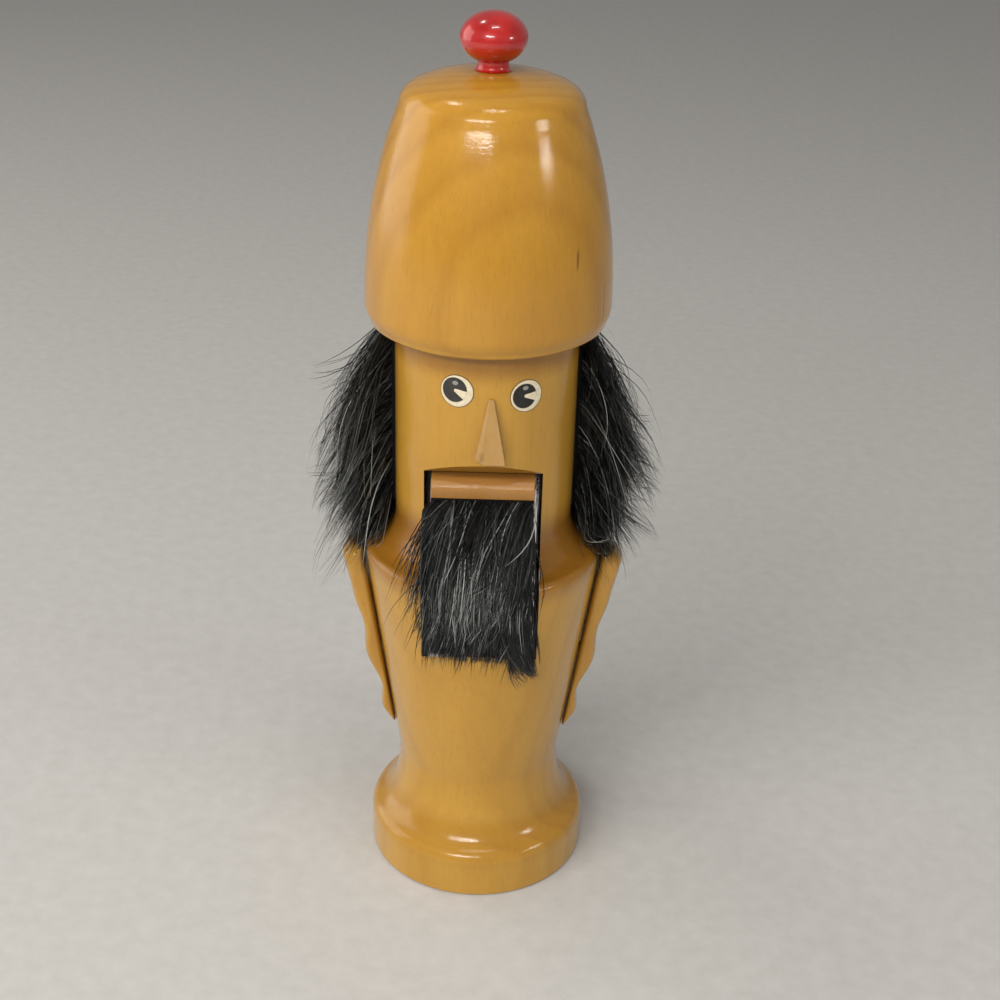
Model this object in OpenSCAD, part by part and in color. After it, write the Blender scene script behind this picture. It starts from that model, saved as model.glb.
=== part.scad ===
// Turned wooden nutcracker figure with a lever jaw, fur hair and a fur beard.
// The origin is the centre of the base's bottom face, +Z is up and the face looks along -Y.

/* [Turned body] */
// Diameter of the base
base_d = 71.4; // [60:0.2:86]
// Height of the base's straight side
base_side_h = 12; // [9:0.5:15]
// Rounding of the base's top edge
base_roll = 5; // [3:0.5:7]
// Small chamfer under the base
base_chamfer = 0.8; // [0.4:0.1:1.5]
// Diameter of the waist above the base
waist_d = 52.4; // [43:0.2:62]
// Height of the waist
waist_z = 38; // [31:0.5:46]
// Diameter at the shoulders
shoulder_d = 74.4; // [66:0.2:90]
// Height of the shoulders
shoulder_z = 113; // [94:0.5:136]
// Height of the hollow curve from the shoulders in to the head
flare_h = 13; // [11:0.5:16]
// Diameter of the head
head_d = 54.8; // [50:0.2:66]
// Height of the head, from the shoulders to the hat
head_h = 76.5; // [63:0.5:93]

/* [Slot and mouth] */
// Width of the slot that the lever swings in
slot_w = 35.2; // [29:0.2:42]
// Height of the mouth's ceiling above the shoulders
mouth_rise = 35; // [29:0.5:42]
// Depth of the slot's front lip below the shoulders
lip_drop = 21; // [19:0.5:24]
// Height of the slot's back top edge above the shoulders
slot_back_rise = 9; // [8:0.5:11]
// Height of the slot's back lip above the waist
slot_heel_rise = 12; // [10:0.5:14]
// Depth of the bevel over the mouth, from the front of the head
bevel_run = 7; // [4:0.5:8]
// Height of the bevel over the mouth
bevel_rise = 5.4; // [3:0.2:6.4]

/* [Lever] */
// Gap between each side of the lever and the slot
lever_side_gap = 2.3; // [1:0.1:3]
// Distance from the axis to the front of the jaw
jaw_front = 26; // [22:0.5:28]
// Distance from the axis to the back of the jaw's top
jaw_back = 4; // [2:0.5:6]
// Gap between the closed jaw and the mouth's ceiling
jaw_gap = 0.6; // [0.4:0.1:1.5]
// Rounding of the jaw's front edges
jaw_round = 3.5; // [2:0.5:5]
// Depth of the jaw below the pivot
jaw_heel = 15; // [12:0.5:16]
// Distance from the axis to the middle of the handle's tip
handle_reach = 42; // [38:0.5:50]
// Thickness of the handle where it leaves the body
handle_t = 12.5; // [10:0.5:14]
// Thickness of the handle at its tip
handle_tip_t = 8.5; // [6:0.5:10]
// Depth of the handle's tip below the waist
handle_drop = 6; // [3:0.5:8]

/* [Pivot] */
// Diameter of the pivot pin
pin_d = 6; // [4:0.5:8]
// Depth of the pivot below the shoulders
pin_drop = 3; // [2:0.5:5]
// Radial running clearance of the lever on the pin
pin_clearance = 0.06; // [0.02:0.01:0.1]
// Depth of each pin end below the body's side
pin_recess = 1; // [0.5:0.5:3]

/* [Hat and knob] */
// Largest diameter of the hat, just above its rim
hat_d = 72.6; // [66:0.2:88]
// Height of the hat
hat_h = 72; // [60:0.5:88]
// Diameter of the hat at the edge of its crown
crown_d = 50.8; // [42:0.2:60]
// Height of the crown's dome and rounded edge
crown_h = 10; // [8:0.5:12]
// Diameter of the dowel that joins the hat to the head
hat_dowel_d = 10; // [8:0.5:14]
// Length of the dowel that joins the hat to the head
hat_dowel_len = 36; // [28:1:44]
// Diameter of the knob
knob_d = 18.8; // [14:0.2:22.6]
// Height of the knob above the hat
knob_h = 15.8; // [12.8:0.5:18.8]
// Diameter of the knob's neck
knob_neck_d = 8.8; // [7:0.2:10.4]
// Diameter of the knob's tenon
tenon_d = 6; // [5:0.5:7]
// Length of the knob's tenon
tenon_len = 14; // [10:1:18]

/* [Face] */
// Sideways offset of the glued nose and eyes
face_offset = 1.9; // [0:0.1:2.5]
// Diameter of an eye
eye_d = 10; // [8:0.2:12]
// Thickness of an eye
eye_t = 0.3; // [0.2:0.05:0.5]
// Distance between the eyes' centres
eye_spacing = 19.8; // [17:0.2:22]
// Depth of the eyes below the hat
eye_drop = 13.7; // [12:0.1:16]
// How much higher one eye was glued than the other
eye_step = 1.5; // [0:0.1:2]
// Width of the nose at its foot
nose_w = 9; // [7:0.2:10]
// Width of the nose at its top
nose_top_w = 1.6; // [1:0.2:2.4]
// Height of the nose
nose_h = 19; // [16:0.2:20]
// How far the foot of the nose stands out from the head
nose_out = 4.6; // [3:0.2:6]
// Gap between the nose and the bevel over the mouth
nose_gap = 2.4; // [0.4:0.1:4]

/* [Arms] */
// Front-to-back depth of an arm at the shoulder
arm_depth = 15; // [12:0.5:18]
// Front-to-back depth of an arm at the hand
hand_depth = 10.5; // [8:0.5:12]
// Gap between an arm's flat face and the body, for glue
arm_glue = 0.2; // [0.1:0.05:0.4]
// Height of the hand's tip above the waist
hand_rise = 8.5; // [6:0.5:12]
// Thickness of the arm at the shoulder
upper_arm_t = 7.3; // [6:0.1:8.8]
// Thickness of the arm at the elbow
elbow_t = 4.8; // [4:0.1:5.8]
// Thickness of the forearm
forearm_t = 5.8; // [5:0.1:7]
// Thickness of the wrist
wrist_t = 2.5; // [2:0.1:3.2]
// Thickness of the hand
hand_t = 3.7; // [3:0.1:4.6]
// Diameter of the dowels that hold the arms
arm_dowel_d = 5; // [4:0.5:6]
// Length of each arm dowel inside the body
arm_dowel_in = 8; // [6:0.5:10]
// Length of each arm dowel inside the arm
arm_dowel_out = 3; // [2:0.5:3.5]

/* [Fur] */
// Thickness of the woven backing under the fur
backing_t = 1; // [0.6:0.1:1.2]
// Angle that the hair takes round the head
hair_angle = 182; // [160:1:190]
// Gap between the hair's top edge and the hat
hair_top_gap = 1.5; // [1:0.5:3]
// Height of the backing's bottom edge above the shoulders
hair_backing_rise = 15; // [14:0.5:18]
// Height of the hair's tips above the shoulders
hair_tip_rise = 7.5; // [7:0.5:10]
// How far the hair stands out from its backing
hair_pile = 17; // [13:0.5:20]
// Depth of the beard's top edge below the mouth
beard_top_drop = 6; // [4:0.5:9]
// Distance of the beard's edges inside the lever's sides
beard_inset = 0.1; // [0:0.1:2]
// Thickness of the beard where it hangs over the slot's front lip
beard_over_lip = 3.8; // [3:0.2:6]
// Length of the beard below the slot's front lip
beard_overhang = 4; // [2:0.5:6]
// Gap between the beard's hem and the body
beard_gap = 0.6; // [0.4:0.1:1.5]

/* [Hidden] */
$fn = 96;
eps = 0.01;                      // overlap of a cut past a face
far = 60;                        // past every side of the body
base_r = base_d / 2;
waist_r = waist_d / 2;
roll_angle = 60;
shoulder_r = shoulder_d / 2;
head_r = head_d / 2;
head_top = shoulder_z + head_h;
mouth_z = shoulder_z + mouth_rise;
lip_z = shoulder_z - lip_drop;
pin_z = shoulder_z - pin_drop;
lever_w = slot_w - 2 * lever_side_gap;
beard_w = lever_w - 2 * beard_inset;
pin_r = pin_d / 2;
hat_r = hat_d / 2;
hat_top = head_top + hat_h;
hand_z = waist_z + hand_rise;
arm_len = shoulder_z - hand_z;
hair_r = head_r + backing_t;
varnish_orange = [0.80, 0.50, 0.16];
varnish_light = [0.86, 0.60, 0.24];
raw_wood = [0.88, 0.68, 0.42];
fur_black = [0.05, 0.05, 0.06];

// Points are [r, z] on a turned outline and [y, z] on a sawn one.
function arc(c, r, a0, a1, n = 8) =
    [for (i = [0:n]) let (a = a0 + (a1 - a0) * i / n) c + r * [cos(a), sin(a)]];
function along(p0, p1, p2, t) = (1 - t) * (1 - t) * p0 + 2 * t * (1 - t) * p1 + t * t * p2;
function curve(p0, p1, p2, n = 10) = [for (i = [0:n]) along(p0, p1, p2, i / n)];

// The trunk is a straight cone between the waist and the shoulders.
function trunk_r(z) = waist_r + (shoulder_r - waist_r) * (z - waist_z) / (shoulder_z - waist_z);

// ---- body ----
module body_outline() {
    roll_centre = [base_r - base_roll, base_side_h];
    roll_end = roll_centre + base_roll * [cos(roll_angle), sin(roll_angle)];
    sweep = roll_end[0] - waist_r;
    crest = [shoulder_r - 0.6, shoulder_z + 2.4];
    head_foot = [head_r, shoulder_z + flare_h];
    polygon(concat(
        [[0, 0], [base_r - base_chamfer, 0], [base_r, base_chamfer]],
        arc(roll_centre, base_roll, 0, roll_angle - 6),
        curve(roll_end, [waist_r, roll_end[1] + sweep / tan(roll_angle)], [waist_r, waist_z]),
        [[shoulder_r, shoulder_z]],
        curve(crest, [head_r + 0.8, shoulder_z + 4], head_foot),
        [[head_r, head_top], [0, head_top]]));
}

// The slot's outline in Y and Z: mouth at the front, a sloping floor and a lower way out at the back.
module slot_outline() {
    heel_z = waist_z + slot_heel_rise;
    slope = (lip_z - heel_z) / (trunk_r(lip_z) + trunk_r(heel_z));
    back_top_z = shoulder_z + slot_back_rise;
    polygon([
        [-far, lip_z], [-trunk_r(lip_z), lip_z],
        [far, heel_z - slope * (far - trunk_r(heel_z))],
        [far, back_top_z], [head_r + 1, back_top_z],
        [jaw_back + 3, mouth_z], [-far, mouth_z]]);
}

// The bevel that opens the mouth's ceiling towards the front.
module bevel_outline() {
    reach = 1;
    slope = bevel_rise / bevel_run;
    polygon([
        [bevel_run - head_r, mouth_z - eps],
        [-head_r - reach, mouth_z + slope * (bevel_run + reach)],
        [-head_r - reach, mouth_z - eps]]);
}

// Extrudes an outline drawn in Y and Z to a width along X, centred.
module across(width) {
    rotate([90, 0, 90]) linear_extrude(width, center = true) children();
}

module body() {
    color(varnish_orange) difference() {
        rotate_extrude() body_outline();
        across(slot_w) slot_outline();
        across(slot_w) bevel_outline();
        pivot_bore(pin_r, 2 * far);
        translate([0, 0, head_top]) cylinder(h = hat_dowel_len, r = hat_dowel_d / 2, center = true);
        arm_dowel_set();
    }
}

// ---- hat, its dowel and the knob ----
module hat_outline() {
    rim_round = 1.2;
    rim_r = hat_r - 1.2;
    edge_z = hat_top - crown_h;
    crown_r = crown_d / 2;
    polygon(concat(
        [[0, head_top]],
        arc([rim_r - rim_round, head_top + rim_round], rim_round, -90, 0, 4),
        [[hat_r - 0.2, head_top + 3.4]],
        curve([hat_r, head_top + 6], [hat_r, head_top + hat_h / 2], [crown_r + 1, edge_z]),
        curve([crown_r + 0.6, edge_z + 1.8], [crown_r - 0.6, hat_top - 5], [crown_r - 4, hat_top - 3.6]),
        curve([crown_r - 5, hat_top - 3.2], [crown_r / 2, hat_top], [0, hat_top])));
}

module hat() {
    color(varnish_orange) difference() {
        rotate_extrude() hat_outline();
        translate([0, 0, head_top]) cylinder(h = hat_dowel_len, r = hat_dowel_d / 2, center = true);
        translate([0, 0, hat_top - tenon_len]) cylinder(h = tenon_len + 1, r = tenon_d / 2);
    }
}

module hat_dowel() {
    color(raw_wood) translate([0, 0, head_top])
        cylinder(h = hat_dowel_len, r = hat_dowel_d / 2, center = true);
}

// A flattened ball on a short neck, with a tenon that is glued into the hat.
module knob() {
    neck_r = knob_neck_d / 2;
    ball_r = knob_d / 2;
    neck_h = 1.6;
    foot_flare = 0.9;
    half_h = (knob_h - neck_h) / 2;
    centre_z = hat_top + neck_h + half_h;
    start = -acos(neck_r / ball_r);
    color("crimson") rotate_extrude() polygon(concat(
        [[0, hat_top - tenon_len], [tenon_d / 2, hat_top - tenon_len], [tenon_d / 2, hat_top],
         [neck_r + foot_flare, hat_top], [neck_r, hat_top + foot_flare]],
        [for (i = [0:15]) let (a = start + (90 - start) * i / 16)
            [ball_r * cos(a), centre_z + half_h * sin(a)]],
        [[0, centre_z + half_h]]));
}

// ---- lever and pivot ----
module pivot_bore(r, length) {
    translate([0, 0, pin_z]) rotate([0, 90, 0]) cylinder(h = length, r = r, center = true);
}

// One board: the jaw in front of the pivot, the handle curving out of the back and down.
module lever_outline() {
    top = mouth_z - jaw_gap;
    root = [0, pin_z];
    knee = [handle_reach - 2, pin_z - 10];
    tip = [handle_reach, waist_z - handle_drop];
    function thick(t) = handle_t + (handle_tip_t - handle_t) * t;
    function heading(t) = let (d = (1 - t) * (knee - root) + t * (tip - knee)) d / norm(d);
    function edge(t, side) = let (d = heading(t))
        along(root, knee, tip, t) + side * thick(t) / 2 * [-d[1], d[0]];
    leave = 0.3;                 // where the handle's edges start along its middle line
    steps = 12;
    tip_heading = heading(1);
    tip_angle = atan2(tip_heading[1], tip_heading[0]);
    polygon(concat(
        arc([jaw_round - jaw_front, top - jaw_round], jaw_round, 180, 90, 6),
        curve([jaw_back, top], [jaw_back + 2, pin_z + 6], edge(leave, 1)),
        [for (i = [1:steps]) edge(leave + (1 - leave) * i / steps, 1)],
        arc(tip, handle_tip_t / 2, tip_angle + 78, tip_angle - 78, 8),
        [for (i = [0:steps]) edge(1 - (1 - leave) * i / steps, -1)],
        arc([jaw_round - jaw_front, pin_z - jaw_heel + jaw_round], jaw_round, 270, 180, 6)));
}

module lever() {
    color(varnish_light) difference() {
        across(lever_w) lever_outline();
        pivot_bore(pin_r + pin_clearance, 2 * far);
    }
}

module pivot_pin() {
    color("silver") pivot_bore(pin_r, 2 * (trunk_r(pin_z) - pin_recess));
}

// ---- beard ----
module beard_backing() {
    top = mouth_z - beard_top_drop;
    bottom = pin_z - jaw_heel + jaw_round;
    color("dimgray") translate([-beard_w / 2, -jaw_front - backing_t, bottom])
        cube([beard_w, backing_t, top - bottom]);
}

// The pile hangs in front of the jaw and over the slot's front lip.
module beard_outline() {
    back = -jaw_front - backing_t;
    top = mouth_z - beard_top_drop;
    hem = lip_z - beard_overhang;
    lip_y = -trunk_r(lip_z) - beard_gap;
    front = lip_y - beard_over_lip;
    polygon(concat(
        [[back, pin_z - jaw_heel + jaw_round], [back, top]],
        curve([back - 3.5, top], [front + 2, top - 8], [front, shoulder_z + 2], 6),
        curve([front, shoulder_z - 4], [front + 0.6, lip_z], [front + 2, hem], 6),
        [[lip_y, hem], [lip_y, lip_z + beard_gap]]));
}

module beard() {
    color(fur_black) across(beard_w) beard_outline();
}

// ---- hair ----
// The ends of the hair stop beside the face, and its middle is behind the head.
module round_the_head() {
    rotate([0, 0, 90 - hair_angle / 2]) rotate_extrude(angle = hair_angle) children();
}

module hair_backing() {
    bottom = shoulder_z + hair_backing_rise;
    color("dimgray") round_the_head()
        translate([head_r, bottom]) square([backing_t, head_top - hair_top_gap - bottom]);
}

module hair_outline() {
    top = head_top - hair_top_gap;
    tip = shoulder_z + hair_tip_rise;
    root = shoulder_z + hair_backing_rise;
    out = hair_r + hair_pile;
    polygon(concat(
        [[hair_r, root], [hair_r, top]],
        curve([hair_r + 4, top - 0.5], [out - 2, top - 10], [out, root + 22], 6),
        curve([out, root + 8], [out - 1, tip + 3], [hair_r + 9, tip], 6),
        [[hair_r + 3.4, tip]]));
}

module hair() {
    color(fur_black) round_the_head() hair_outline();
}

// ---- arms ----
// Stations along an arm: [share of its length from the shoulder, thickness].
ARM = [[0, 4.6], [0.05, upper_arm_t], [0.25, upper_arm_t - 0.8], [0.44, elbow_t], [0.59, forearm_t],
       [0.78, wrist_t], [0.9, hand_t], [1, 0.4]];
ease = [0, 0.16, 0.5, 0.84];     // rounded steps from one station to the next
arm_outer = [for (i = [0:len(ARM) - 2], j = [0:3])
    let (a = ARM[i], b = ARM[i + 1], s = a[0] + (b[0] - a[0]) * j / 4, z = shoulder_z - s * arm_len)
    [trunk_r(z) + arm_glue + a[1] + (b[1] - a[1]) * ease[j], z]];

module arm_front_outline() {
    polygon(concat(
        [[trunk_r(hand_z) + arm_glue, hand_z], [trunk_r(shoulder_z) + arm_glue, shoulder_z]],
        arm_outer, [[trunk_r(hand_z) + arm_glue + ARM[7][1], hand_z]]));
}

module arm_side_outline() {
    corner = 3;
    half = arm_depth / 2;
    tip = hand_depth / 2;
    polygon(concat(
        arc([corner - half, shoulder_z - corner], corner, 180, 90, 4),
        arc([half - corner, shoulder_z - corner], corner, 90, 0, 4),
        arc([tip - corner, hand_z + corner], corner, 0, -90, 4),
        arc([corner - tip, hand_z + corner], corner, 270, 180, 4)));
}

module arm() {
    difference() {
        intersection() {
            rotate([90, 0, 0]) linear_extrude(2 * arm_depth, center = true) arm_front_outline();
            across(2 * far) arm_side_outline();
        }
        arm_dowel_set();
    }
}

module right_arm() {
    color(varnish_orange) mirror([1, 0, 0]) arm();
}

module left_arm() {
    color(varnish_orange) arm();
}

// Two dowels in each arm, one at the upper arm and one at the forearm.
module arm_dowel_set() {
    for (side = [0, 1], share = [0.2, 0.58]) {
        z = shoulder_z - share * arm_len;
        mirror([side, 0, 0]) translate([trunk_r(z) - arm_dowel_in, 0, z]) rotate([0, 90, 0])
            cylinder(h = arm_dowel_in + arm_dowel_out, r = arm_dowel_d / 2);
    }
}

module arm_dowels() {
    color(raw_wood) arm_dowel_set();
}

// ---- face ----
// A wedge, widest and thickest at its foot, fitted to the round of the head.
module nose() {
    foot = mouth_z + bevel_rise + nose_gap;
    color(raw_wood) difference() {
        intersection() {
            translate([face_offset, 0, 0]) rotate([90, 0, 0]) linear_extrude(far) polygon([
                [-nose_w / 2, foot], [nose_w / 2, foot],
                [nose_top_w / 2, foot + nose_h], [-nose_top_w / 2, foot + nose_h]]);
            across(far) polygon([
                [0, foot], [-head_r - nose_out, foot],
                [-head_r - 0.8, foot + nose_h], [0, foot + nose_h]]);
        }
        cylinder(h = head_top, r = head_r);
    }
}

// A thin round disc, curved to the head.
module eye(side) {
    angle = asin((face_offset + side * eye_spacing / 2) / head_r);
    z = head_top - eye_drop - side * eye_step / 2;
    color("ivory") difference() {
        intersection() {
            cylinder(h = head_top, r = head_r + eye_t);
            rotate([0, 0, angle]) translate([0, 0, z]) rotate([90, 0, 0])
                cylinder(h = far, r = eye_d / 2);
        }
        cylinder(h = head_top, r = head_r);
    }
}

module right_eye() {
    eye(-1);
}

module left_eye() {
    eye(1);
}

body();
hat();
hat_dowel();
knob();
lever();
pivot_pin();
beard();
beard_backing();
hair();
hair_backing();
right_arm();
left_arm();
arm_dowels();
nose();
right_eye();
left_eye();
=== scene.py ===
"""Looks for the turned wooden nutcracker: varnished wood, red lacquer, printed eyes and strands of fur."""

import math

import bmesh
import bpy
import numpy as np
from mathutils import Matrix, Vector


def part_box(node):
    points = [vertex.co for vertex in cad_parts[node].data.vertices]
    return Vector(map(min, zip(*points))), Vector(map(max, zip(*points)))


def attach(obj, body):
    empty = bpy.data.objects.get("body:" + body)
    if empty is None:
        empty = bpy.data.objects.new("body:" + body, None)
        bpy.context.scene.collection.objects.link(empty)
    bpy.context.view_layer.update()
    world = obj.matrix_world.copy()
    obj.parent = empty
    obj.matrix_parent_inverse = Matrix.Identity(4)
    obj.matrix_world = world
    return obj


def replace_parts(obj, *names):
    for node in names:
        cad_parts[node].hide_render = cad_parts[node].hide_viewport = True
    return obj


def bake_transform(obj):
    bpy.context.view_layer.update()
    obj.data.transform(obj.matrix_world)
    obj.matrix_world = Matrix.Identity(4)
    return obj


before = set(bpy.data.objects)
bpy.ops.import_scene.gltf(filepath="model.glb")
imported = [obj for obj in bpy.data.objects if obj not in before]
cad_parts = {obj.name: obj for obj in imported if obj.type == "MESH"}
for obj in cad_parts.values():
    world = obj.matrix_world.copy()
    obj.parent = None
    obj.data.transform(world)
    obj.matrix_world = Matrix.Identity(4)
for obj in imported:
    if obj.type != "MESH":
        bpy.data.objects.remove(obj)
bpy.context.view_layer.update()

MM = 0.001

# ---- sizes
# These come from the frame.
body_low, body_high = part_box("body")
_, hat_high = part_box("hat")
knob_low, knob_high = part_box("knob")
lever_low, lever_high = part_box("lever")
backing_low, backing_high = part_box("beard_backing")
hair_low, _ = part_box("hair")
strip_low, strip_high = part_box("hair_backing")
arm_low, arm_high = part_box("left_arm")
pin_low, pin_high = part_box("pivot_pin")

BASE_R = -body_low.y
SHOULDER_R = body_high.x
SHOULDER_Z = arm_high.z
HEAD_TOP = body_high.z
HAT_R = hat_high.x
KNOB_R = knob_high.x
HAND_Z = arm_low.z
PIN_Z = (pin_low.z + pin_high.z) / 2
LEVER_BORE_R = (pin_high.z - pin_low.z) / 2

# These are the same named sizes as in the CAD source.
BASE_SIDE_H = 12 * MM
BASE_ROLL = 5 * MM
ROLL_ANGLE = 60
BASE_CHAMFER = 0.8 * MM
WAIST_R = 26.2 * MM
WAIST_Z = 38 * MM
FLARE_H = 13 * MM
HEAD_R = 27.4 * MM
HAT_TOP = HEAD_TOP + 72 * MM
CROWN_R = 25.4 * MM
CROWN_H = 10 * MM
KNOB_NECK_R = 4.4 * MM
KNOB_TENON_R = 3 * MM
SLOT_HALF = 17.6 * MM
JAW_GAP = 0.6 * MM
MOUTH_Z = lever_high.z + JAW_GAP
LIP_Z = SHOULDER_Z - 21 * MM
HEEL_Z = WAIST_Z + 12 * MM
SLOT_BACK_Z = SHOULDER_Z + 9 * MM
BEVEL_RUN = 7 * MM
BEVEL_RISE = 5.4 * MM
JAW_FRONT = 26 * MM
JAW_BACK = 4 * MM
JAW_ROUND = 3.5 * MM
JAW_HEEL = 15 * MM
HANDLE_REACH = 42 * MM
HANDLE_T = 12.5 * MM
HANDLE_TIP_T = 8.5 * MM
HANDLE_END_Z = WAIST_Z - 6 * MM
PIN_R = 3 * MM
HAT_DOWEL_R = 5 * MM
HAT_DOWEL_HALF = 18 * MM
ARM_DOWEL_R = 2.5 * MM
ARM_DOWEL_IN = 8 * MM
ARM_DOWEL_OUT = 3 * MM
ARM_DOWEL_SHARES = (0.2, 0.58)
ARM_GLUE = 0.2 * MM
ARM_HALF_DEPTH = 7.5 * MM
HAND_HALF_DEPTH = 5.25 * MM
# Stations along an arm: share of its length from the shoulder, and thickness in mm.
ARM_STATIONS = [(0.0, 4.6), (0.05, 7.3), (0.25, 6.5), (0.44, 4.8),
                (0.59, 5.8), (0.78, 2.5), (0.9, 3.7), (1.0, 0.6)]
EYE_T = 0.3 * MM
FAR = 60 * MM


# ---- outlines
def arc(centre, radius, start, end, steps=12):
    """Points on a circle from one angle to another, in degrees."""
    angles = np.radians(np.linspace(start, end, steps + 1))
    return [(centre[0] + radius * math.cos(a), centre[1] + radius * math.sin(a)) for a in angles]


def curve(p0, p1, p2, steps=16):
    """Points on a quadratic curve."""
    ts = np.linspace(0, 1, steps + 1)
    return [
        tuple((1 - t) ** 2 * a + 2 * t * (1 - t) * b + t * t * c for a, b, c in zip(p0, p1, p2))
        for t in ts
    ]


def trunk_r(z):
    """Radius of the trunk's straight cone."""
    return WAIST_R + (SHOULDER_R - WAIST_R) * (z - WAIST_Z) / (SHOULDER_Z - WAIST_Z)


def straight(p0, p1, steps):
    """Points on a straight line, both ends included."""
    start, run = np.array(p0), np.array(p1) - np.array(p0)
    return [tuple(start + run * t) for t in np.linspace(0, 1, steps + 1)]


def body_outline():
    """The turned body from the middle of its foot to the middle of its top."""
    edge = 0.9 * MM
    roll = arc((BASE_R - BASE_ROLL, BASE_SIDE_H), BASE_ROLL, 0, ROLL_ANGLE, 10)
    foot_z = roll[-1][1] + (roll[-1][0] - WAIST_R) / math.tan(math.radians(ROLL_ANGLE))
    crest = (SHOULDER_R - 0.6 * MM, SHOULDER_Z + 2.4 * MM)
    return (
        [(0, 0)]
        + straight((4 * MM, 0), (BASE_R - BASE_CHAMFER, 0), 6)
        + arc((BASE_R - BASE_CHAMFER, BASE_CHAMFER), BASE_CHAMFER, -75, 0, 5)
        + straight((BASE_R, 2 * MM), (BASE_R, BASE_SIDE_H - 1 * MM), 5)
        + roll
        + curve(roll[-1], (WAIST_R, foot_z), (WAIST_R, WAIST_Z), 24)[1:]
        + straight((trunk_r(WAIST_Z + 2 * MM), WAIST_Z + 2 * MM),
                   (trunk_r(SHOULDER_Z - edge), SHOULDER_Z - edge), 40)
        + curve((SHOULDER_R, SHOULDER_Z), (SHOULDER_R + 0.05 * MM, SHOULDER_Z + 1.4 * MM), crest, 6)
        + curve((SHOULDER_R - 1.4 * MM, SHOULDER_Z + 3 * MM), (HEAD_R + 0.8 * MM, SHOULDER_Z + 4 * MM),
                (HEAD_R, SHOULDER_Z + FLARE_H), 20)
        + straight((HEAD_R, SHOULDER_Z + FLARE_H + 2 * MM), (HEAD_R, HEAD_TOP - 0.1 * MM), 34)
        + [(HEAD_R, HEAD_TOP), (HEAD_R - 2 * MM, HEAD_TOP), (0, HEAD_TOP)]
    )


def hat_outline():
    """The turned hat: an overhanging rim, a barrel side and a domed crown."""
    rim_round = 1.2 * MM
    rim_r = HAT_R - 1.2 * MM
    edge_z = HAT_TOP - CROWN_H
    return (
        [(0, HEAD_TOP), (HEAD_R, HEAD_TOP)]
        + arc((rim_r - rim_round, HEAD_TOP + rim_round), rim_round, -90, 0, 8)
        + curve((rim_r + 0.3 * MM, HEAD_TOP + 2 * MM), (HAT_R - 0.1 * MM, HEAD_TOP + 3.4 * MM),
                (HAT_R, HEAD_TOP + 5.6 * MM), 6)
        + curve((HAT_R, HEAD_TOP + 6 * MM), (HAT_R, HEAD_TOP + (HAT_TOP - HEAD_TOP) / 2),
                (CROWN_R + 1 * MM, edge_z), 48)
        + curve((CROWN_R + 0.6 * MM, edge_z + 1.8 * MM), (CROWN_R - 0.6 * MM, HAT_TOP - 5 * MM),
                (CROWN_R - 4 * MM, HAT_TOP - 3.6 * MM), 12)
        + curve((CROWN_R - 5 * MM, HAT_TOP - 3.2 * MM), (CROWN_R / 2, HAT_TOP), (0, HAT_TOP), 18)
    )


def knob_outline():
    """A flattened ball on a short flared neck, down to the end of its tenon."""
    neck_h = 1.6 * MM
    flare = 0.9 * MM
    half_h = (knob_high.z - HAT_TOP - neck_h) / 2
    centre_z = HAT_TOP + neck_h + half_h
    start = -math.acos(KNOB_NECK_R / KNOB_R)
    ball = [
        (KNOB_R * math.cos(a), centre_z + half_h * math.sin(a))
        for a in np.linspace(start, math.pi / 2, 40)
    ]
    ball[-1] = (0, ball[-1][1])
    return (
        [(0, knob_low.z), (KNOB_TENON_R, knob_low.z), (KNOB_TENON_R, HAT_TOP - 0.2 * MM)]
        + curve((KNOB_NECK_R + flare, HAT_TOP), (KNOB_NECK_R - 0.2 * MM, HAT_TOP + 0.3 * MM),
                (KNOB_NECK_R, ball[0][1] - 0.2 * MM), 8)
        + ball
    )


# ---- mesh helpers
def new_object(name, mesh):
    piece = bpy.data.objects.new(name, mesh)
    bpy.context.scene.collection.objects.link(piece)
    return piece


def mesh_from(name, points, faces):
    mesh = bpy.data.meshes.new(name)
    mesh.from_pydata([tuple(p) for p in points], [], faces)
    mesh.update()
    return new_object(name, mesh)


def smooth(piece, degrees=35):
    """Smooth shading, with edges sharper than this kept crisp."""
    mesh = piece.data
    mesh.polygons.foreach_set("use_smooth", [True] * len(mesh.polygons))
    mesh.set_sharp_from_angle(angle=math.radians(degrees))
    mesh.update()
    return piece


def lathe(name, outline, segments=192):
    """A closed turned solid. The outline starts and ends on the axis."""
    rings = outline[1:-1]
    points = [(0, 0, outline[0][1])]
    for r, z in rings:
        points += [
            (r * math.cos(2 * math.pi * k / segments), r * math.sin(2 * math.pi * k / segments), z)
            for k in range(segments)
        ]
    points.append((0, 0, outline[-1][1]))
    top = len(points) - 1
    faces = []
    for k in range(segments):
        n = (k + 1) % segments
        faces.append((0, 1 + n, 1 + k))
        last = 1 + (len(rings) - 1) * segments
        faces.append((top, last + k, last + n))
        for i in range(len(rings) - 1):
            a = 1 + i * segments
            b = a + segments
            faces.append((a + k, a + n, b + n, b + k))
    return mesh_from(name, points, faces)


def prism(name, outline, width):
    """An outline drawn in Y and Z, extruded along X and centred."""
    count = len(outline)
    points = [(-width / 2, y, z) for y, z in outline] + [(width / 2, y, z) for y, z in outline]
    sides = [(k, (k + 1) % count, count + (k + 1) % count, count + k) for k in range(count)]
    faces = [tuple(reversed(range(count))), tuple(range(count, 2 * count))] + sides
    piece = mesh_from(name, points, faces)
    fix_normals(piece)
    return piece


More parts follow.
